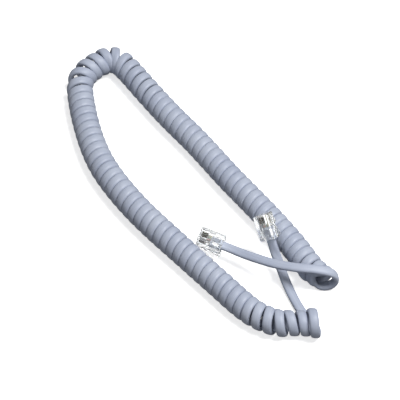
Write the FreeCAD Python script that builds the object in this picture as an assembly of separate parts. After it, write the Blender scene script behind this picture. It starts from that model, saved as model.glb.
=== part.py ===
import FreeCAD, Part
import math
import os

# Curly telephone handset cord with a clear four-way plug on each end.
# Millimetres, +Z up. The cord lies on the plane Z = 0, and the origin is the middle of its footprint.

V = FreeCAD.Vector
UP = V(0, 0, 1)

# Curls: the jacket is wound as a round tube, and every curl is cut flat where it stands
CURL_OUTSIDE = 13.0
CURL_TUBE = 4.0
CURLS = 79
CURL_FLAT = 0.5
LEAST_GAP = 0.4
FIRST_CURL_ANGLE = -90.0
LAST_CURL_ANGLE = 60.0
LOOSE_LENGTH = 26.0
LOOSE_DENSITY = 0.86
BEND_ALLOWANCE = 1.15
END_BEND = 1.0

# Middle line of the curls on the plane, from the end near plug B's lead, round the loop, to plug A's lead
CURL_ROUTE = [
    (55.6, -78.1), (52.0, -80.8), (39.6, -79.8), (27.6, -74.7), (15.6, -62.6), (-2.9, -43.2),
    (-21.9, -22.5), (-36.4, -5.2), (-46.9, 11.2), (-53.9, 31.0), (-58.4, 50.0), (-60.8, 66.5),
    (-54.9, 75.6), (-47.4, 81.6), (-39.5, 81.0), (-31.4, 68.8), (-13.9, 44.0), (4.6, 20.2),
    (22.1, -3.6), (38.1, -24.9), (49.6, -40.6), (56.7, -48.8), (60.1, -52.2), (59.6, -56.0)]

# Leads: the jacket leaves the curls round, and is pressed flat where it enters each plug
LEAD_RUN = 6.0
LEAD_A_ROUTE = [(46.6, -54.0, 14.9), (37.9, -50.0, 13.2), (27.9, -44.4, 10.2)]
LEAD_B_ROUTE = [(46.3, -64.2, 1.9), (42.7, -56.0, 2.3), (39.7, -49.2, 4.4)]
JACKET_WIDTH = 4.4
JACKET_THICKNESS = 2.7
JACKET_START = 1.5
MOUTH_GAP = 0.3

# Plug body: X across, Y from the mouth to the nose, Z from the cord's middle towards the contact side
PLUG_LENGTH = 12.3
PLUG_WIDTH = 7.65
CONTACT_FACE = 3.8
UNDERSIDE = -2.25
BODY_ROUND = 0.3
NOSE_CHAMFER = 0.5
FIT_GAP = 0.05
JACKET_DEPTH = 6.0
MOUTH_FLARE = 0.45

# Contacts and conductors
CONTACTS = 4
CONTACT_PITCH = 1.02
BLADE_THICKNESS = 0.3
BLADE_LENGTH = 3.0
BLADE_FROM_NOSE = 1.1
BLADE_RECESS = 0.75
TINE_DEPTH = 0.75
SLOT_WIDTH = 0.56
SLOT_LENGTH = 4.7
SLOT_DEPTH = 1.35
CONDUCTOR = 0.94
CONDUCTOR_END = 0.9
CONDUCTOR_NAMES = ["black", "red", "green", "yellow"]

# Anchor bar, pressed through its window on to the jacket
WINDOW_WIDTH = 4.6
WINDOW_START = 1.5
WINDOW_LENGTH = 3.3
BAR_THICKNESS = 0.9
BAR_BITE = 0.35
BAR_SLOPE = 0.8

# Latch: a lever with a round root in a socket under the nose
LATCH_ANGLE = 26.0
LATCH_LENGTH = 11.7
LATCH_THICKNESS = 1.0
LATCH_TIP = 0.8
LATCH_ROOT_RADIUS = 0.65
LATCH_FROM_NOSE = 1.5
LATCH_SHOULDER_WIDTH = 5.6
LATCH_SHOULDER_LENGTH = 4.6
LATCH_TAIL_WIDTH = 3.25
LATCH_RIDGE = 0.4
LATCH_ROOM = 0.12
SOCKET_WALL = 0.75

# Where each plug lies: middle of its mouth, heading left of +Y, nose up, right side up, in degrees
PLUG_A = {"mouth": V(11.95, -36.85, 8.4), "heading": 68.0, "pitch": 5.0, "roll": 0.0}
PLUG_B = {"mouth": V(34.4, -38.3, 16.3), "heading": 23.5, "pitch": 40.0, "roll": 41.6}


def unit(vector):
    return vector * (1.0 / vector.Length)


def box(x0, x1, y0, y1, z0, z1):
    return Part.makeBox(x1 - x0, y1 - y0, z1 - z0, V(x0, y0, z0))


def tangent_arc(start, tangent, end):
    """Circular edge that leaves start along tangent and reaches end."""
    chord = end - start
    along = unit(chord)
    lean = math.acos(max(-1.0, min(1.0, tangent.dot(along))))
    side = unit(tangent - along * tangent.dot(along))
    middle = (start + end) * 0.5 + side * (chord.Length * 0.5 * math.tan(lean * 0.5))
    return Part.Arc(start, middle, end).toShape()


def rounded_corners(points):
    """Start, tangent, end and radius of the arc at each inner point, as large as its two runs allow."""
    corners = []
    for before, corner, after in zip(points, points[1:], points[2:]):
        run_in = corner - before
        run_out = after - corner
        setback = 0.45 * min(run_in.Length, run_out.Length)
        way_in = unit(run_in)
        way_out = unit(run_out)
        half_turn = 0.5 * way_in.getAngle(way_out)
        corners.append((corner - way_in * setback, way_in, corner + way_out * setback,
                        setback / math.tan(half_turn)))
    return corners


def rounded_edges(points):
    """Straight runs joined by tangent arcs, and the arcs' radii."""
    edges = []
    radii = []
    last = points[0]
    for start, way_in, end, radius in rounded_corners(points):
        edges.append(Part.LineSegment(last, start).toShape())
        edges.append(tangent_arc(start, way_in, end))
        radii.append(radius)
        last = end
    edges.append(Part.LineSegment(last, points[-1]).toShape())
    return edges, radii


class CurlAxis:
    """Middle line of the curls, read by its length, with the curls' angle along it."""

    STEP = 0.25

    def __init__(self):
        height = CURL_OUTSIDE / 2 - CURL_FLAT
        edges, _ = rounded_edges([V(x, y, height) for x, y in CURL_ROUTE])
        self.radius = (CURL_OUTSIDE - CURL_TUBE) / 2
        self.length = sum(edge.Length for edge in edges)
        self.points = []
        for edge in edges:
            count = max(2, math.ceil(edge.Length / self.STEP))
            self.points += edge.discretize(count + 1)[:-1]
        self.points.append(edges[-1].Vertexes[-1].Point)
        self.places = [0.0]
        for one, other in zip(self.points, self.points[1:]):
            self.places.append(self.places[-1] + (other - one).Length)
        self.angles = self.curl_angles()

    def lower_index(self, values, value):
        low = 0
        high = len(values) - 2
        while low < high:
            middle = (low + high + 1) // 2
            if values[middle] <= value:
                low = middle
            else:
                high = middle - 1
        return low

    def at(self, place):
        index = self.lower_index(self.places, place)
        share = (place - self.places[index]) / (self.places[index + 1] - self.places[index])
        return self.points[index] + (self.points[index + 1] - self.points[index]) * share

    def along(self, place):
        reach = self.radius / 2
        back = max(0.0, place - reach)
        ahead = min(self.places[-1], place + reach)
        return unit(self.at(ahead) - self.at(back))

    def density(self, place):
        """Curls for each length: fewer in a bend, where their inner sides come close, and at the loose end."""
        back = max(0.0, place - self.radius)
        ahead = min(self.places[-1], place + self.radius)
        turn = self.along(back).getAngle(self.along(ahead)) / (ahead - back)
        if min(place, self.places[-1] - place) < END_BEND:
            turn = 0.0
        loose = LOOSE_DENSITY if place < LOOSE_LENGTH else 1.0
        return loose * max(0.3, 1.0 - BEND_ALLOWANCE * self.radius * turn)

    def curl_angles(self):
        sums = [0.0]
        for one, other in zip(self.places, self.places[1:]):
            sums.append(sums[-1] + self.density((one + other) / 2) * (other - one))
        first = math.radians(FIRST_CURL_ANGLE)
        total = 2 * math.pi * CURLS + math.radians(LAST_CURL_ANGLE) - first
        return [first + total * value / sums[-1] for value in sums]

    def curl_point(self, angle):
        index = self.lower_index(self.angles, angle)
        share = (angle - self.angles[index]) / (self.angles[index + 1] - self.angles[index])
        place = self.places[index] + share * (self.places[index + 1] - self.places[index])
        side = UP.cross(self.along(place))
        return self.at(place) + (side * math.cos(angle) + UP * math.sin(angle)) * self.radius

    def curl_tangent(self, angle):
        small = 0.02
        low = max(self.angles[0], angle - small)
        high = min(self.angles[-1], angle + small)
        return unit(self.curl_point(high) - self.curl_point(low))


def biarc(start, start_way, end, end_way):
    """Two arcs that join start to end, each tangent to its own end and to the other."""
    chord = end - start
    a = 2 * (1 - start_way.dot(end_way))
    b = 2 * chord.dot(start_way + end_way)
    reach = (-b + math.sqrt(b * b + 4 * a * chord.dot(chord))) / (2 * a)
    joint = (start + end + (start_way - end_way) * reach) * 0.5
    middle_way = unit(end - end_way * reach - (start + start_way * reach))
    return [tangent_arc(start, start_way, joint), tangent_arc(joint, middle_way, end)]


def curl_path(axis):
    """Edges of the curls' tube, with a straight stretch of one tube diameter at each end."""
    first = axis.angles[0]
    last = axis.angles[-1]
    halves = 2 * round(CURLS) + 1
    angles = [first + (last - first) * index / halves for index in range(halves + 1)]
    points = [axis.curl_point(angle) for angle in angles]
    ways = [axis.curl_tangent(angle) for angle in angles]
    ways[0] = unit(V(ways[0].x, ways[0].y, 0))
    edges = [Part.LineSegment(points[0] - ways[0] * CURL_TUBE, points[0]).toShape()]
    for index in range(halves):
        edges += biarc(points[index], ways[index], points[index + 1], ways[index + 1])
    edges.append(Part.LineSegment(points[-1], points[-1] + ways[-1] * CURL_TUBE).toShape())
    return edges, ways[0], ways[-1]


def print_least_gap(edges):
    """Least distance between the tube's walls on neighbouring curls, measured on points of its path."""
    step = CURL_TUBE / 6
    points = []
    for edge in edges:
        points += edge.discretize(max(2, math.ceil(edge.Length / step)) + 1)[:-1]
    half_curl = int(0.5 * math.pi * (CURL_OUTSIDE - CURL_TUBE) / step)
    least = 1000.0
    for index, point in enumerate(points):
        for other in points[index + half_curl:index + 5 * half_curl]:
            least = min(least, (other - point).Length)
    print("least gap between curls", round(least - CURL_TUBE, 2), "wanted over", LEAST_GAP)


def above_floor(shape):
    """Shape without what lies below the plane it stands on."""
    bounds = shape.BoundBox
    bounds.enlarge(CURL_TUBE)
    above = box(bounds.XMin, bounds.XMax, bounds.YMin, bounds.YMax, 0, bounds.ZMax)
    return shape.common(above)


def make_curls():
    axis = CurlAxis()
    edges, first_way, last_way = curl_path(axis)
    path = Part.Wire(edges)
    start = edges[0].Vertexes[0].Point
    end = edges[-1].Vertexes[-1].Point
    section = Part.Wire(Part.Circle(start, first_way, CURL_TUBE / 2).toShape())
    tube = path.makePipeShell([section], True, False)
    section_area = math.pi * CURL_TUBE ** 2 / 4
    print("curls: axis", round(axis.length, 1), "tube length", round(path.Length, 1),
          "volume over section times length", round(tube.Volume / (section_area * path.Length), 4))
    print_least_gap(edges)
    return above_floor(tube), (start, first_way * -1.0), (end, last_way)


def plug_ways(plug):
    """Across, forward and contact-side directions of a plug as it lies."""
    heading, pitch, roll = (math.radians(plug[name]) for name in ("heading", "pitch", "roll"))
    forward = V(-math.sin(heading) * math.cos(pitch), math.cos(heading) * math.cos(pitch), math.sin(pitch))
    level = V(math.cos(heading), math.sin(heading), 0)
    across = level * math.cos(roll) + level.cross(forward) * math.sin(roll)
    return across, forward, across.cross(forward)


def place(shape, plug):
    across, forward, upward = plug_ways(plug)
    lie = FreeCAD.Placement(plug["mouth"], FreeCAD.Rotation(across, forward, upward, "YZX"))
    moved = shape.copy()
    moved.Placement = lie.multiply(shape.Placement)
    return moved


def stadium(width, thickness, middle, across, upward):
    """Wire of a flat oval, in the plane of its two directions."""
    flat = (width - thickness) / 2
    half = thickness / 2
    right_top = middle + across * flat + upward * half
    left_top = middle - across * flat + upward * half
    left_low = middle - across * flat - upward * half
    right_low = middle + across * flat - upward * half
    return Part.Wire([
        Part.LineSegment(right_top, left_top).toShape(),
        Part.Arc(left_top, middle - across * (width / 2), left_low).toShape(),
        Part.LineSegment(left_low, right_low).toShape(),
        Part.Arc(right_low, middle + across * (width / 2), right_top).toShape()])


def make_lead(name, curl_end, route, plug):
    """Round jacket from the curls' end to the plug's mouth, and flat inside, where the anchor bar bites it."""
    face, way = curl_end
    across, forward, upward = plug_ways(plug)
    mouth = plug["mouth"]
    points = [face, face + way * LEAD_RUN] + [V(*point) for point in route]
    points += [mouth - forward * LEAD_RUN, mouth - forward * MOUTH_GAP]
    edges, radii = rounded_edges(points)
    path = Part.Wire(edges)
    section = Part.Wire(Part.Circle(face, way, CURL_TUBE / 2).toShape())
    tube = path.makePipeShell([section], True, False)
    section_area = math.pi * CURL_TUBE ** 2 / 4
    print(name, "length", round(path.Length, 1), "radii", [round(radius, 1) for radius in radii],
          "volume over section times length", round(tube.Volume / (section_area * path.Length), 4))
    start = mouth - forward * JACKET_START
    flat = Part.Face(stadium(JACKET_WIDTH, JACKET_THICKNESS, start, across, upward))
    flat = flat.extrude(forward * (JACKET_START + JACKET_DEPTH))
    return above_floor(tube.fuse(flat.cut(place(anchor_bar(), plug))))


def contact_places():
    middle = (CONTACTS - 1) / 2
    return [(index - middle) * CONTACT_PITCH for index in range(CONTACTS)]


def plug_nose_side(start, end):
    """Distances from the nose as places along the plug."""
    return PLUG_LENGTH - end, PLUG_LENGTH - start


def hinge_place():
    """Latch hinge in the plug's own directions, along and up."""
    return PLUG_LENGTH - LATCH_FROM_NOSE, UNDERSIDE - LATCH_ROOM - LATCH_ROOT_RADIUS


def plug_body():
    half = PLUG_WIDTH / 2
    shell = box(-half, half, 0, PLUG_LENGTH, UNDERSIDE, CONTACT_FACE)
    nose_edges = []
    for edge in shell.Edges:
        middle = edge.CenterOfMass
        if middle.y > PLUG_LENGTH - 0.01 and middle.z > UNDERSIDE + 0.01:
            nose_edges.append(edge)
    shell = shell.makeChamfer(NOSE_CHAMFER, nose_edges)
    shell = rounded_long_edges(shell, half)
    body = shell.fuse(latch_socket())
    body = body.cut(jacket_cavity())
    body = body.cut(conductor_cavity())
    for place_x in contact_places():
        body = body.cut(contact_slot(place_x))
    body = body.cut(anchor_window())
    return body.removeSplitter()


def rounded_long_edges(shell, half):
    edges = []
    for edge in shell.Edges:
        middle = edge.CenterOfMass
        on_side = abs(abs(middle.x) - half) < 0.01
        on_face = min(abs(middle.z - UNDERSIDE), abs(middle.z - CONTACT_FACE)) < 0.01
        if on_side and on_face and edge.Length > PLUG_LENGTH / 2:
            edges.append(edge)
    return shell.makeFillet(BODY_ROUND, edges)


def latch_socket():
    """Block under the nose with the round seat for the latch's root."""
    hinge_y, hinge_z = hinge_place()
    seat = LATCH_ROOT_RADIUS + FIT_GAP
    half = LATCH_SHOULDER_WIDTH / 2
    front = hinge_y + seat + SOCKET_WALL - FIT_GAP
    low = hinge_z - LATCH_ROOT_RADIUS
    block = box(-half, half, hinge_y, front, low, UNDERSIDE)
    lead_in = Part.makePolygon([V(-half, front, low), V(-half, front, low + NOSE_CHAMFER),
                                V(-half, front - NOSE_CHAMFER, low), V(-half, front, low)])
    block = block.cut(Part.Face(lead_in).extrude(V(LATCH_SHOULDER_WIDTH, 0, 0)))
    return block.cut(Part.makeCylinder(seat, LATCH_SHOULDER_WIDTH, V(-half, hinge_y, hinge_z), V(1, 0, 0)))


def jacket_cavity():
    """Flat oval bore for the jacket, flared at the mouth."""
    width = JACKET_WIDTH + 2 * FIT_GAP
    thickness = JACKET_THICKNESS + 2 * FIT_GAP
    right = V(1, 0, 0)
    bore = Part.Face(stadium(width, thickness, V(0, 0, 0), right, UP)).extrude(V(0, JACKET_DEPTH + FIT_GAP, 0))
    wide = stadium(width + 2 * MOUTH_FLARE, thickness + 2 * MOUTH_FLARE, V(0, 0, 0), right, UP)
    narrow = stadium(width, thickness, V(0, 2 * MOUTH_FLARE, 0), right, UP)
    return bore.fuse(Part.makeLoft([wide, narrow], True, True))


def conductor_cavity():
    """Flat cavity in which the conductors lie side by side."""
    half = (CONTACTS * CONTACT_PITCH) / 2 + FIT_GAP
    rise = CONDUCTOR / 2 + FIT_GAP
    return box(-half, half, JACKET_DEPTH, PLUG_LENGTH - CONDUCTOR_END + FIT_GAP, -rise, rise)


def contact_slot(place_x):
    """Open slot at the contact side and nose, with the blade's narrow slot under it."""
    half_open = SLOT_WIDTH / 2
    half_blade = BLADE_THICKNESS / 2 + FIT_GAP / 2
    start, end = plug_nose_side(BLADE_FROM_NOSE - FIT_GAP, BLADE_FROM_NOSE + BLADE_LENGTH + FIT_GAP)
    wide = box(place_x - half_open, place_x + half_open, PLUG_LENGTH - SLOT_LENGTH, PLUG_LENGTH + 1,
               CONTACT_FACE - SLOT_DEPTH, CONTACT_FACE + 1)
    narrow = box(place_x - half_blade, place_x + half_blade, start, end, 0, CONTACT_FACE + 1)
    return wide.fuse(narrow)


def anchor_window():
    half = WINDOW_WIDTH / 2
    return box(-half, half, WINDOW_START, WINDOW_START + WINDOW_LENGTH, 0, CONTACT_FACE + 1)


def anchor_bar():
    """Wedge bar that fills the window's length and bites the jacket along its front edge."""
    half = WINDOW_WIDTH / 2 - FIT_GAP
    back = WINDOW_START + FIT_GAP
    front = WINDOW_START + WINDOW_LENGTH - FIT_GAP
    jacket_top = JACKET_THICKNESS / 2
    bite = jacket_top - BAR_BITE
    profile = Part.makePolygon([
        V(-half, back, jacket_top + BAR_SLOPE), V(-half, front, jacket_top + BAR_THICKNESS - BAR_BITE),
        V(-half, front, bite), V(-half, front - BAR_THICKNESS, bite),
        V(-half, back, jacket_top), V(-half, back, jacket_top + BAR_SLOPE)])
    return Part.Face(profile).extrude(V(2 * half, 0, 0))


def contact_blade(place_x):
    """Flat blade with a rounded front corner and two tines that pierce the conductor."""
    back, front = plug_nose_side(BLADE_FROM_NOSE, BLADE_FROM_NOSE + BLADE_LENGTH)
    top = CONTACT_FACE - BLADE_RECESS
    shoulder = CONDUCTOR / 2
    tip = shoulder - TINE_DEPTH
    corner = BLADE_LENGTH / 5
    tine = BLADE_LENGTH / 5
    left = place_x - BLADE_THICKNESS / 2
    outline = [
        (back, top), (front - corner, top), (front, top - corner), (front, shoulder),
        (front - tine / 2, tip), (front - tine, shoulder), (back + tine, shoulder),
        (back + tine / 2, tip), (back, shoulder), (back, top)]
    blade = Part.Face(Part.makePolygon([V(left, y, z) for y, z in outline]))
    return blade.extrude(V(BLADE_THICKNESS, 0, 0))


def conductor(place_x):
    """Insulated conductor from the stripped jacket to the nose, pierced by its blade."""
    length = PLUG_LENGTH - CONDUCTOR_END - JACKET_DEPTH
    wire = Part.makeCylinder(CONDUCTOR / 2, length, V(place_x, JACKET_DEPTH, 0), V(0, 1, 0))
    return wire.cut(contact_blade(place_x))


def latch():
    """Lever at rest: round root, wide shoulders that lock, narrow tail with finger ridges."""
    hinge_y, hinge_z = hinge_place()
    half_root = LATCH_THICKNESS / 2
    side_view = Part.makePolygon([
        V(0, 0, half_root), V(0, -LATCH_LENGTH, half_root), V(0, -LATCH_LENGTH, half_root - LATCH_TIP),
        V(0, -LATCH_SHOULDER_LENGTH, -half_root), V(0, 0, -half_root), V(0, 0, half_root)])
    lever = Part.Face(side_view).extrude(V(LATCH_SHOULDER_WIDTH, 0, 0))
    lever.translate(V(-LATCH_SHOULDER_WIDTH / 2, 0, 0))
    half_shoulder = LATCH_SHOULDER_WIDTH / 2
    half_tail = LATCH_TAIL_WIDTH / 2
    for x0, x1 in ((-half_shoulder, -half_tail), (half_tail, half_shoulder)):
        lever = lever.cut(box(x0, x1, -LATCH_LENGTH, -LATCH_SHOULDER_LENGTH, -LATCH_LENGTH, LATCH_LENGTH))
    root = Part.makeCylinder(LATCH_ROOT_RADIUS, LATCH_SHOULDER_WIDTH, V(-half_shoulder, 0, 0), V(1, 0, 0))
    lever = lever.fuse(root)
    for count in range(3):
        ridge_y = -LATCH_LENGTH + LATCH_RIDGE * (2 * count + 1)
        ridge = Part.makeCylinder(LATCH_RIDGE / 2, LATCH_TAIL_WIDTH,
                                  V(-half_tail, ridge_y, half_root - LATCH_TIP), V(1, 0, 0))
        lever = lever.fuse(ridge)
    lever = lever.removeSplitter()
    lever.rotate(V(0, 0, 0), V(1, 0, 0), LATCH_ANGLE)
    lever.translate(V(0, hinge_y, hinge_z))
    return lever


def plug_pieces(letter):
    pieces = {"body": plug_body(), "latch": latch(), "anchor_bar": anchor_bar()}
    for index, place_x in enumerate(contact_places()):
        pieces["contact_" + str(index + 1)] = contact_blade(place_x)
        pieces["conductor_" + CONDUCTOR_NAMES[index]] = conductor(place_x)
    return {"plug_" + letter + "_" + name: shape for name, shape in pieces.items()}


def main():
    os.makedirs("parts", exist_ok=True)
    curls, end_b, end_a = make_curls()
    nodes = {"curls": curls}
    nodes["lead_a"] = make_lead("lead_a", end_a, LEAD_A_ROUTE, PLUG_A)
    nodes["lead_b"] = make_lead("lead_b", end_b, LEAD_B_ROUTE, PLUG_B)
    for letter, plug in (("a", PLUG_A), ("b", PLUG_B)):
        for name, shape in plug_pieces(letter).items():
            nodes[name] = place(shape, plug)
        hinge_y, hinge_z = hinge_place()
        across, forward, upward = plug_ways(plug)
        hinge = plug["mouth"] + forward * hinge_y + upward * hinge_z
        print("latch", letter, "hinge at", [round(c, 4) for c in hinge], "axis", [round(c, 6) for c in across])
    bounds = FreeCAD.BoundBox()
    for name, shape in nodes.items():
        shape.exportStep("parts/" + name + ".step")
        bounds.add(shape.BoundBox)
    print("box", bounds, "footprint middle", bounds.Center.x, bounds.Center.y)


main()
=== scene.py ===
import bpy
import math
from mathutils import Matrix, Vector


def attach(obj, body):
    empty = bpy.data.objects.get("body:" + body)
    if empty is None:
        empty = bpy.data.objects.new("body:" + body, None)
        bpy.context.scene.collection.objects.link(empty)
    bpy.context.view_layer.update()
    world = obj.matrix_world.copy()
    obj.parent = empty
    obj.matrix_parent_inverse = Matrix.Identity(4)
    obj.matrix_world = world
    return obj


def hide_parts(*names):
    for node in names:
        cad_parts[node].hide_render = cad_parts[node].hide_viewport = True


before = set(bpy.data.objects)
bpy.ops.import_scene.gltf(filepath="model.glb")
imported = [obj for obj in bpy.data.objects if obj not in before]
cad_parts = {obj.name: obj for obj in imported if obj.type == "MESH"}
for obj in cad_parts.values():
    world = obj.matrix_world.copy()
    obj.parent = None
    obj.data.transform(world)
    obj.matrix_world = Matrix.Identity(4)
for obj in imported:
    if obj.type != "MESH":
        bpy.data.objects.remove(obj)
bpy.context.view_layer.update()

UP = Vector((0, 0, 1))

# Cord: a flat jacket, wound into curls with its broad face outwards
JACKET_WIDTH = 0.0045
JACKET_THICKNESS = 0.0026
JACKET_SQUARENESS = 2.7
SECTION_POINTS = 20
CURL_OUTSIDE = 0.0134
CURLS = 82
CURL_POINTS = 14
ROUTE_STEPS = 16
CORD_STEPS = 3
FIRST_CURL_ANGLE = -90.0
LAST_CURL_ANGLE = 90.0
BEND_TILT = 35.0
BEND_TILT_RATE = 1.5
JACKET_DEPTH = 0.006

# Middle line of the curls on the floor, from the end near plug B's lead, round the loop, to plug A's lead
CURL_ROUTE = [
    (0.0553, -0.0793), (0.0504, -0.0790), (0.0440, -0.0789), (0.0385, -0.0794), (0.0334, -0.0779),
    (0.0264, -0.0742), (0.0190, -0.0673), (0.0106, -0.0580), (0.0002, -0.0470), (-0.0097, -0.0362),
    (-0.0200, -0.0252), (-0.0299, -0.0137), (-0.0390, -0.0012), (-0.0466, 0.0113), (-0.0520, 0.0249),
    (-0.0560, 0.0398), (-0.0583, 0.0520), (-0.0594, 0.0605), (-0.0590, 0.0668), (-0.0557, 0.0719),
    (-0.0513, 0.0757), (-0.0469, 0.0789), (-0.0426, 0.0795), (-0.0390, 0.0769), (-0.0353, 0.0728),
    (-0.0312, 0.0668), (-0.0211, 0.0525), (-0.0115, 0.0398), (-0.0024, 0.0289), (0.0064, 0.0170),
    (0.0151, 0.0048), (0.0246, -0.0072), (0.0368, -0.0229), (0.0469, -0.0377), (0.0508, -0.0446),
    (0.0533, -0.0486), (0.0550, -0.0504), (0.0570, -0.0520), (0.0587, -0.0531), (0.0591, -0.0534)]

# Curls counted in the photograph: place along the middle line, curls up to there
CURL_COUNTS = [
    (0.0, 0.0), (0.0035, 0.9), (0.0146, 2.9), (0.0301, 5.92), (0.0391, 7.92), (0.1304, 27.94), (0.1912, 41.0),
    (0.2043, 43.06), (0.2145, 45.0), (0.2198, 46.0), (0.2251, 47.0), (0.2303, 48.0), (0.2564, 53.06),
    (0.3741, 79.25), (0.3787, 80.25), (0.3838, 81.25)]

# How far the curls are turned aside from the middle line: curl number, degrees to the left
CURL_TURNS = [
    (0.0, 3.0), (0.5, 2.0), (1.2, 0.0), (45.8, 0.0), (46.5, 15.0), (47.6, 0.0), (81.0, 0.0), (82.0, -18.0),
    (82.5, -22.0)]

# How large the curls are there against the rest: curl number, share
CURL_SIZES = [
    (0.0, 1.16), (0.5, 1.09), (1.0, 0.91), (1.5, 0.87), (2.2, 0.89), (3.0, 0.94), (6.0, 0.97), (9.0, 1.0),
    (15.0, 1.0), (19.0, 1.035), (30.0, 1.03), (35.0, 0.99), (46.0, 1.0), (80.5, 0.99), (81.4, 0.95),
    (82.0, 0.88), (82.5, 0.90)]

# Last ring, turned aside by the lead: points, and the heading of the jacket's broad face in degrees
LAST_RING = [
    (0.0538, -0.0537, 0.0109, -57.0), (0.0534, -0.0538, 0.0067, -55.0), (0.0551, -0.0545, 0.0024, -56.0),
    (0.0589, -0.0552, 0.0009, -62.0), (0.0633, -0.0553, 0.0026, -68.0), (0.0655, -0.0547, 0.0067, -76.0),
    (0.0640, -0.0547, 0.0110, -84.0), (0.0603, -0.0549, 0.0134, -98.0)]

# Leads: points from the curls to each plug, and the heading of the jacket's broad face
LEAD_A_ROUTE = [
    (0.0548, -0.0546, 0.0146), (0.0487, -0.0541, 0.0147), (0.0432, -0.0527, 0.0140),
    (0.0376, -0.0509, 0.0130), (0.0321, -0.0482, 0.0118), (0.0265, -0.0450, 0.0103),
    (0.0205, -0.0414, 0.0088)]
LEAD_B_ROUTE = [
    (0.0524, -0.0746, 0.00135), (0.0490, -0.0702, 0.00135), (0.0470, -0.0664, 0.0014),
    (0.0451, -0.0621, 0.0015), (0.0434, -0.0581, 0.0019), (0.0418, -0.0542, 0.0027),
    (0.0403, -0.0505, 0.0044), (0.0385, -0.0463, 0.0072), (0.0365, -0.0426, 0.0111)]
LEAD_RUN = 0.003
LEAD_A_FLAT = Vector((-0.33, -0.93, -0.1))
LEAD_B_FLAT = Vector((-0.92, -0.40, 0.0))

# Where each plug lies: middle of its mouth, heading left of +Y, nose up, right side up, in degrees
PLUG_A = {"mouth": Vector((0.01195, -0.03685, 0.0084)), "heading": 68.0, "pitch": 5.0, "roll": 0.0}
PLUG_B = {"mouth": Vector((0.0344, -0.0383, 0.0163)), "heading": 23.5, "pitch": 40.0, "roll": 41.6}

# Colours
JACKET_DARK = (0.385, 0.425, 0.525)
JACKET_LIGHT = (0.445, 0.485, 0.575)
CLEAR_DARK = (0.94, 0.955, 0.96)
CLEAR_LIGHT = (0.99, 1.0, 1.0)
CONTACT_DARK = (0.065, 0.05, 0.03)
CONTACT_LIGHT = (0.19, 0.145, 0.085)
WIRES = {
    "black": ((0.07, 0.07, 0.075), (0.11, 0.11, 0.115)), "red": ((0.30, 0.15, 0.14), (0.38, 0.21, 0.19)),
    "green": ((0.17, 0.25, 0.19), (0.23, 0.32, 0.25)), "yellow": ((0.48, 0.44, 0.30), (0.58, 0.54, 0.40))}

# Finishes: patches and grain to each metre, how strongly the grain stands out, and roughness
SKIN_SPREAD = (0.32, 0.68)
LINES_SPREAD = (0.3, 0.7)
LINES_STRETCH = (1.0, 0.6, 1.0)
JACKET_SKIN = {"Patch_Scale": 70.0, "Grain_Scale": 2600.0}
JACKET_LINES = 26.0
LINE_SHADE = (0.86, 0.87, 0.90)
JACKET_ROUGHNESS = (0.40, 0.56)
GRAIN_BESIDE_LINES = 0.35
JACKET_RELIEF = 0.25
JACKET_RELIEF_HEIGHT = 0.00006
MOULDED_RELIEF_HEIGHT = 0.00005
CLEAR_FINISH = {"patch_scale": 160.0, "grain_scale": 1500.0, "relief": 0.06}
CLEAR_ROUGHNESS = (0.06, 0.14)
BAR_ROUGHNESS = (0.12, 0.25)
CLEAR_TRANSMISSION = 0.92
CLEAR_IOR = 1.45
CONTACT_FINISH = {"patch_scale": 900.0, "grain_scale": 4000.0, "relief": 0.1}
CONTACT_ROUGHNESS = (0.28, 0.46)
WIRE_FINISH = {"patch_scale": 500.0, "grain_scale": 3000.0, "relief": 0.1}
WIRE_ROUGHNESS = (0.35, 0.5)

# Studio: the floor as it is seen and as it throws light back, the all-round light, and two lamps
FLOOR_SIZE = 6
FLOOR_SEEN = (0.97, 0.97, 0.97)
FLOOR_BOUNCE = (0.22, 0.22, 0.23)
FLOOR_GLOW = 0.65
FLOOR_ROUGHNESS = 0.9
WORLD_LIGHT = 0.14
KEY_LIGHT = {"spot": (0.45, 0.0, 1.1), "size": 0.6, "power": 15.0}
FILL_LIGHT = {"spot": (-0.5, -0.9, 0.8), "size": 0.9, "power": 1.6}

# Camera of the photograph
CAMERA_TARGET = Vector((0.0011, -0.0040, 0.0))
CAMERA_DISTANCE = 1.0
CAMERA_ELEVATION = 54.0
CAMERA_LENS = 184.8
CAMERA_SENSOR = 36


def deselect_all():
    """Nothing selected, so that an operator acts on new pieces alone."""
    for item in bpy.context.selected_objects:
        item.select_set(False)


def plug_ways(plug):
    """Across and forward directions of a plug as it lies."""
    heading, pitch, roll = (math.radians(plug[name]) for name in ("heading", "pitch", "roll"))
    ahead = Vector((-math.sin(heading), math.cos(heading), 0))
    forward = ahead * math.cos(pitch) + UP * math.sin(pitch)
    level = Vector((math.cos(heading), math.sin(heading), 0))
    across = level * math.cos(roll) + level.cross(forward) * math.sin(roll)
    return across, forward


def smooth_line(name, points, steps):
    """Points read from a smooth curve that has the given points as its control points."""
    data = bpy.data.curves.new(name, "CURVE")
    data.dimensions = "3D"
    data.resolution_u = steps
    line = data.splines.new("NURBS")
    line.points.add(len(points) - 1)
    for spot, point in zip(line.points, points):
        spot.co = (*point, 1.0)
    line.order_u = 3
    line.use_endpoint_u = True
    holder = bpy.data.objects.new(name, data)
    bpy.context.collection.objects.link(holder)
    bpy.context.view_layer.update()
    mesh = bpy.data.meshes.new_from_object(holder)
    spots = [vertex.co.copy() for vertex in mesh.vertices]
    bpy.data.meshes.remove(mesh)
    bpy.data.objects.remove(holder)
    bpy.data.curves.remove(data)
    return spots


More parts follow.
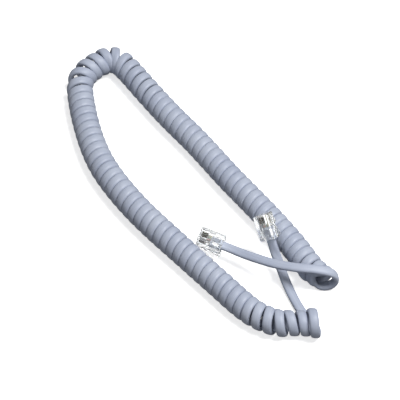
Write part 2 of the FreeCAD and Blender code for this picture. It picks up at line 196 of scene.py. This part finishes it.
class MeasuredLine:
    """Line through points, read by its length."""

    def __init__(self, points):
        self.points = points
        self.places = [0.0]
        for one, other in zip(points, points[1:]):
            self.places.append(self.places[-1] + (other - one).length)
        self.length = self.places[-1]

    def at(self, place):
        """Point at a length along the line."""
        low = 0
        high = len(self.places) - 2
        while low < high:
            middle = (low + high + 1) // 2
            if self.places[middle] <= place:
                low = middle
            else:
                high = middle - 1
        share = (place - self.places[low]) / (self.places[low + 1] - self.places[low])
        return self.points[low].lerp(self.points[low + 1], share)

    def along(self, place, reach):
        """Direction of the line, over a reach to each side."""
        back = max(0.0, place - reach)
        ahead = min(self.length, place + reach)
        return (self.at(ahead) - self.at(back)).normalized()

    def bend(self, place, reach):
        """How fast the line turns, as a vector towards the inside of the bend."""
        back = max(0.0, place - reach)
        ahead = min(self.length, place + reach)
        return (self.along(ahead, reach / 2) - self.along(back, reach / 2)) / (ahead - back)


def read_list(pairs, first):
    """Second value of a list of pairs, between the two whose first values lie round the given one."""
    for (low, before), (high, after) in zip(pairs, pairs[1:]):
        if first <= high:
            return before + (after - before) * (first - low) / (high - low)
    return pairs[-1][1]


def curl_places(length):
    """Place along the middle line of each helix point, as the curls were counted."""
    curls = CURLS + (LAST_CURL_ANGLE - FIRST_CURL_ANGLE) / 360
    counts = [(count, place) for place, count in CURL_COUNTS] + [(curls, length)]
    wanted = round(curls * CURL_POINTS)
    return [read_list(counts, curls * number / wanted) for number in range(wanted + 1)]


def curl_points():
    """Helix points round the curls' middle line, and the jacket's broad direction at each."""
    radius = (CURL_OUTSIDE - JACKET_THICKNESS) / 2
    route = [(x, y, CURL_OUTSIDE / 2) for x, y in CURL_ROUTE]
    axis = MeasuredLine(smooth_line("curl_axis", route, ROUTE_STEPS))
    places = curl_places(axis.length)
    first = math.radians(FIRST_CURL_ANGLE)
    whole = 2 * math.pi * CURLS + math.radians(LAST_CURL_ANGLE) - first
    points = []
    broads = []
    for number, place in enumerate(places):
        angle = first + whole * number / (len(places) - 1)
        along = axis.along(place, radius / 2)
        along.rotate(Matrix.Rotation(math.radians(read_list(CURL_TURNS, number / CURL_POINTS)), 3, "Z"))
        outward = UP.cross(along) * math.cos(angle) + UP * math.sin(angle)
        swollen = radius * read_list(CURL_SIZES, number / CURL_POINTS)
        middle = axis.at(place) + UP * (swollen - radius)
        points.append(middle + outward * (swollen / math.cos(math.pi / CURL_POINTS)))
        inside = max(0.0, axis.bend(place, radius).dot(outward) * radius)
        tilt = math.radians(BEND_TILT) * min(1.0, BEND_TILT_RATE * inside)
        broads.append(along * math.cos(tilt) + outward * math.sin(tilt))
    return points, broads


def cord_points():
    """Control points of the whole cord, from plug B to plug A, and its broad direction at each."""
    curls, curl_broads = curl_points()
    across_a, forward_a = plug_ways(PLUG_A)
    across_b, forward_b = plug_ways(PLUG_B)
    mouth_a = PLUG_A["mouth"]
    mouth_b = PLUG_B["mouth"]
    lead_b = [mouth_b + forward_b * JACKET_DEPTH, mouth_b, mouth_b - forward_b * LEAD_RUN]
    lead_b += [Vector(point) for point in reversed(LEAD_B_ROUTE)]
    lead_a = [Vector(point) for point in [spot[:3] for spot in LAST_RING] + LEAD_A_ROUTE]
    lead_a += [mouth_a - forward_a * LEAD_RUN, mouth_a, mouth_a + forward_a * JACKET_DEPTH]
    broads_b = [across_b * -1] * 3 + [LEAD_B_FLAT] * len(LEAD_B_ROUTE)
    broads_a = [Vector((1, 0, 0)) for spot in LAST_RING]
    for broad, spot in zip(broads_a, LAST_RING):
        broad.rotate(Matrix.Rotation(math.radians(spot[3]), 3, "Z"))
    broads_a += [LEAD_A_FLAT] * len(LEAD_A_ROUTE) + [across_a * -1] * 3
    return lead_b + curls + lead_a, broads_b + curl_broads + broads_a


def jacket_section():
    """Flat oval outline, as pairs of distances across and through the jacket."""
    outline = []
    power = 2 / JACKET_SQUARENESS
    for number in range(SECTION_POINTS):
        angle = 2 * math.pi * number / SECTION_POINTS
        x = math.copysign(abs(math.cos(angle)) ** power, math.cos(angle))
        y = math.copysign(abs(math.sin(angle)) ** power, math.sin(angle))
        outline.append((x * JACKET_WIDTH / 2, y * JACKET_THICKNESS / 2))
    return outline


def map_skin(mesh, path):
    """Map of the jacket's skin: share round it, and length along it in metres."""
    places = MeasuredLine(path).places
    skin = mesh.uv_layers.new(name="jacket_skin")
    for face in mesh.polygons:
        rings = [mesh.loops[loop].vertex_index // SECTION_POINTS for loop in face.loop_indices]
        rounds = [mesh.loops[loop].vertex_index % SECTION_POINTS for loop in face.loop_indices]
        seam = max(rounds) - min(rounds) > SECTION_POINTS / 2
        for loop, ring, spot in zip(face.loop_indices, rings, rounds):
            share = 1.0 if seam and spot == 0 else spot / SECTION_POINTS
            skin.uv[loop].vector = (share, places[ring])


def make_cord():
    """One unbroken jacket from plug to plug, with its path and its length."""
    controls, broads = cord_points()
    path = smooth_line("cord_line", controls, CORD_STEPS)
    outline = jacket_section()
    vertices = []
    for number, spot in enumerate(path):
        before = path[max(0, number - 1)]
        after = path[min(len(path) - 1, number + 1)]
        along = (after - before).normalized()
        place = number / (len(path) - 1) * (len(broads) - 1)
        low = min(int(place), len(broads) - 2)
        broad = broads[low].lerp(broads[low + 1], place - low)
        broad = (broad - along * broad.dot(along)).normalized()
        through = along.cross(broad)
        vertices += [spot + broad * x + through * y for x, y in outline]
    faces = []
    for ring in range(len(path) - 1):
        for number in range(SECTION_POINTS):
            following = (number + 1) % SECTION_POINTS
            low = ring * SECTION_POINTS
            high = low + SECTION_POINTS
            faces.append((low + number, low + following, high + following, high + number))
    faces.append(tuple(reversed(range(SECTION_POINTS))))
    last = (len(path) - 1) * SECTION_POINTS
    faces.append(tuple(last + number for number in range(SECTION_POINTS)))
    mesh = bpy.data.meshes.new("cord")
    mesh.from_pydata(vertices, [], faces)
    mesh.update()
    map_skin(mesh, path)
    cord = bpy.data.objects.new("cord", mesh)
    bpy.context.collection.objects.link(cord)
    for polygon in mesh.polygons:
        polygon.use_smooth = True
    length = sum((other - one).length for one, other in zip(path, path[1:]))
    print("cord length", round(length, 4), "points", len(path), "faces", len(faces))
    return cord, path, length


def new_material(name):
    material = bpy.data.materials.new(name)
    material.use_nodes = True
    return material, material.node_tree.nodes, material.node_tree.links


def value_group(name, inputs, outputs):
    """Empty shader group with named number or vector sockets."""
    group = bpy.data.node_groups.new(name, "ShaderNodeTree")
    for socket, kind in inputs:
        group.interface.new_socket(socket, in_out="INPUT", socket_type=kind)
    for socket in outputs:
        group.interface.new_socket(socket, in_out="OUTPUT", socket_type="NodeSocketFloat")
    return group, group.nodes.new("NodeGroupInput"), group.nodes.new("NodeGroupOutput")


def moulded_skin_group():
    """Soft patches and fine grain of moulded plastic."""
    inputs = [
        ("Vector", "NodeSocketVector"), ("Patch Scale", "NodeSocketFloat"),
        ("Grain Scale", "NodeSocketFloat")]
    group, given, result = value_group("moulded_skin", inputs, ["Patches", "Grain"])
    for socket, scale, detail in (("Patches", "Patch Scale", 2.0), ("Grain", "Grain Scale", 4.0)):
        noise = group.nodes.new("ShaderNodeTexNoise")
        noise.inputs["Detail"].default_value = detail
        group.links.new(given.outputs["Vector"], noise.inputs["Vector"])
        group.links.new(given.outputs[scale], noise.inputs["Scale"])
        spread = group.nodes.new("ShaderNodeMapRange")
        spread.inputs["From Min"].default_value = SKIN_SPREAD[0]
        spread.inputs["From Max"].default_value = SKIN_SPREAD[1]
        group.links.new(noise.outputs["Fac"], spread.inputs["Value"])
        group.links.new(spread.outputs["Result"], result.inputs[socket])
    return group


def drawn_lines_group():
    """Faint lines that the die leaves along a drawn jacket."""
    inputs = [("Skin", "NodeSocketVector"), ("Lines", "NodeSocketFloat")]
    group, given, result = value_group("drawn_lines", inputs, ["Lines"])
    stretch = group.nodes.new("ShaderNodeVectorMath")
    stretch.operation = "MULTIPLY"
    stretch.inputs[1].default_value = LINES_STRETCH
    noise = group.nodes.new("ShaderNodeTexNoise")
    noise.inputs["Detail"].default_value = 3.0
    spread = group.nodes.new("ShaderNodeMapRange")
    spread.inputs["From Min"].default_value = LINES_SPREAD[0]
    spread.inputs["From Max"].default_value = LINES_SPREAD[1]
    group.links.new(given.outputs["Skin"], stretch.inputs[0])
    group.links.new(stretch.outputs["Vector"], noise.inputs["Vector"])
    group.links.new(given.outputs["Lines"], noise.inputs["Scale"])
    group.links.new(noise.outputs["Fac"], spread.inputs["Value"])
    group.links.new(spread.outputs["Result"], result.inputs["Lines"])
    return group


def add_group(nodes, group, **values):
    """Shared group placed in a material, with its own values."""
    node = nodes.new("ShaderNodeGroup")
    node.node_tree = group
    for name, value in values.items():
        node.inputs[name.replace("_", " ")].default_value = value
    return node


def two_tone(nodes, links, mask, dark, light):
    """Colour between two by a mask."""
    mix = nodes.new("ShaderNodeMix")
    mix.data_type = "RGBA"
    mix.inputs["A"].default_value = (*dark, 1)
    mix.inputs["B"].default_value = (*light, 1)
    links.new(mask, mix.inputs["Factor"])
    return mix.outputs["Result"]


def between(nodes, links, mask, low, high):
    """Number between two by a mask."""
    reach = nodes.new("ShaderNodeMapRange")
    reach.inputs["To Min"].default_value = low
    reach.inputs["To Max"].default_value = high
    links.new(mask, reach.inputs["Value"])
    return reach.outputs["Result"]


def raise_skin(nodes, links, shader, height, relief, distance):
    """Surface raised and sunk by a height."""
    bump = nodes.new("ShaderNodeBump")
    bump.inputs["Strength"].default_value = relief
    bump.inputs["Distance"].default_value = distance
    links.new(height, bump.inputs["Height"])
    links.new(bump.outputs["Normal"], shader.inputs["Normal"])


def moulded(name, skin, dark, light, roughness, patch_scale, grain_scale, relief):
    """Material with patches in its colour and grain in its shine and surface."""
    material, nodes, links = new_material(name)
    shader = nodes["Principled BSDF"]
    spot = nodes.new("ShaderNodeTexCoord")
    detail = add_group(nodes, skin, Patch_Scale=patch_scale, Grain_Scale=grain_scale)
    links.new(spot.outputs["Object"], detail.inputs["Vector"])
    links.new(two_tone(nodes, links, detail.outputs["Patches"], dark, light), shader.inputs["Base Color"])
    links.new(between(nodes, links, detail.outputs["Grain"], *roughness), shader.inputs["Roughness"])
    raise_skin(nodes, links, shader, detail.outputs["Grain"], relief, MOULDED_RELIEF_HEIGHT)
    return material


def jacket_material(skin, lines):
    """Soft blue-grey vinyl with patches, grain and faint lines along the cord."""
    material, nodes, links = new_material("jacket_vinyl")
    shader = nodes["Principled BSDF"]
    spot = nodes.new("ShaderNodeTexCoord")
    detail = add_group(nodes, skin, **JACKET_SKIN)
    links.new(spot.outputs["Object"], detail.inputs["Vector"])
    chart = nodes.new("ShaderNodeUVMap")
    chart.uv_map = "jacket_skin"
    drawn = add_group(nodes, lines, Lines=JACKET_LINES)
    links.new(chart.outputs["UV"], drawn.inputs["Skin"])
    colour = two_tone(nodes, links, detail.outputs["Patches"], JACKET_DARK, JACKET_LIGHT)
    shade = nodes.new("ShaderNodeMix")
    shade.data_type = "RGBA"
    shade.blend_type = "MULTIPLY"
    shade.inputs["B"].default_value = (*LINE_SHADE, 1)
    links.new(colour, shade.inputs["A"])
    links.new(drawn.outputs["Lines"], shade.inputs["Factor"])
    links.new(shade.outputs["Result"], shader.inputs["Base Color"])
    links.new(between(nodes, links, detail.outputs["Grain"], *JACKET_ROUGHNESS), shader.inputs["Roughness"])
    height = nodes.new("ShaderNodeMath")
    height.operation = "MULTIPLY_ADD"
    height.inputs[1].default_value = GRAIN_BESIDE_LINES
    links.new(detail.outputs["Grain"], height.inputs[0])
    links.new(drawn.outputs["Lines"], height.inputs[2])
    raise_skin(nodes, links, shader, height.outputs["Value"], JACKET_RELIEF, JACKET_RELIEF_HEIGHT)
    return material


def clear_material(name, skin, roughness):
    """Clear plastic, with faint grain."""
    material = moulded(name, skin, CLEAR_DARK, CLEAR_LIGHT, roughness, **CLEAR_FINISH)
    shader = material.node_tree.nodes["Principled BSDF"]
    shader.inputs["Transmission Weight"].default_value = CLEAR_TRANSMISSION
    shader.inputs["IOR"].default_value = CLEAR_IOR
    return material


def contact_material(skin):
    """Dull plated metal of the contact blades."""
    material = moulded(
        "contact_plating", skin, CONTACT_DARK, CONTACT_LIGHT, CONTACT_ROUGHNESS, **CONTACT_FINISH)
    material.node_tree.nodes["Principled BSDF"].inputs["Metallic"].default_value = 1.0
    return material


def dress(item, material):
    """Piece with one material all over."""
    item.data.materials.clear()
    item.data.materials.append(material)


def make_camera():
    """Camera at the angle of the photograph."""
    data = bpy.data.cameras.new("camera")
    data.lens = CAMERA_LENS
    data.sensor_width = CAMERA_SENSOR
    camera = bpy.data.objects.new("camera", data)
    bpy.context.collection.objects.link(camera)
    tilt = math.radians(CAMERA_ELEVATION)
    camera.location = CAMERA_TARGET + Vector((0, -math.cos(tilt), math.sin(tilt))) * CAMERA_DISTANCE
    camera.rotation_euler = (math.pi / 2 - tilt, 0, 0)
    bpy.context.scene.camera = camera


def area_light(name, spot, size, power):
    """Round soft lamp that points at the origin."""
    data = bpy.data.lights.new(name, "AREA")
    data.shape = "DISK"
    data.size = size
    data.energy = power
    lamp = bpy.data.objects.new(name, data)
    bpy.context.collection.objects.link(lamp)
    lamp.location = spot
    lamp.rotation_euler = (-Vector(spot)).to_track_quat("-Z", "Y").to_euler()


def seen_rays(nodes, links, names):
    """One for the named kinds of ray, nought for the others."""
    ray = nodes.new("ShaderNodeLightPath")
    found = ray.outputs[names[0]]
    for name in names[1:]:
        either = nodes.new("ShaderNodeMath")
        either.operation = "MAXIMUM"
        links.new(found, either.inputs[0])
        links.new(ray.outputs[name], either.inputs[1])
        found = either.outputs["Value"]
    return found


def floor_material():
    """White to the eye, and darker to the light that bounces off it on to the cord's underside."""
    material, nodes, links = new_material("pale_floor")
    shader = nodes["Principled BSDF"]
    shader.inputs["Roughness"].default_value = FLOOR_ROUGHNESS
    shader.inputs["Specular IOR Level"].default_value = 0.0
    seen = seen_rays(nodes, links, ["Is Camera Ray", "Is Transmission Ray"])
    links.new(two_tone(nodes, links, seen, FLOOR_BOUNCE, FLOOR_SEEN), shader.inputs["Base Color"])
    shader.inputs["Emission Strength"].default_value = FLOOR_GLOW
    links.new(seen, shader.inputs["Emission Color"])
    return material


def make_world():
    """White studio, dimmer to the light that it throws than to the eye."""
    world = bpy.data.worlds.new("studio")
    bpy.context.scene.world = world
    world.use_nodes = True
    nodes = world.node_tree.nodes
    links = world.node_tree.links
    seen = seen_rays(nodes, links, ["Is Camera Ray", "Is Glossy Ray", "Is Transmission Ray"])
    strength = between(nodes, links, seen, WORLD_LIGHT, 1.0)
    nodes["Background"].inputs["Color"].default_value = (1, 1, 1, 1)
    links.new(strength, nodes["Background"].inputs["Strength"])


def make_stage():
    """Floor, all-round light and lamps."""
    deselect_all()
    bpy.ops.mesh.primitive_plane_add(size=FLOOR_SIZE)
    floor = bpy.context.active_object
    floor.name = "floor"
    dress(floor, floor_material())
    make_world()
    area_light("key", **KEY_LIGHT)
    area_light("fill", **FILL_LIGHT)
    bpy.context.scene.view_settings.view_transform = "Standard"


make_camera()
make_stage()
cord, cord_path, cord_length = make_cord()
moulded_skin = moulded_skin_group()
dress(cord, jacket_material(moulded_skin, drawn_lines_group()))
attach(cord, "cord")
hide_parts("curls", "lead_a", "lead_b")
clear = clear_material("clear_plastic", moulded_skin, CLEAR_ROUGHNESS)
frosted = clear_material("clear_bar", moulded_skin, BAR_ROUGHNESS)
contacts = contact_material(moulded_skin)
wires = {}
for colour, (dark, light) in WIRES.items():
    wires[colour] = moulded("wire_" + colour, moulded_skin, dark, light, WIRE_ROUGHNESS, **WIRE_FINISH)
for node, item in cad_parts.items():
    if node in ("curls", "lead_a", "lead_b"):
        continue
    if "contact" in node:
        dress(item, contacts)
    elif "conductor" in node:
        dress(item, wires[node.rsplit("_", 1)[1]])
    elif "anchor" in node:
        dress(item, frosted)
    else:
        dress(item, clear)
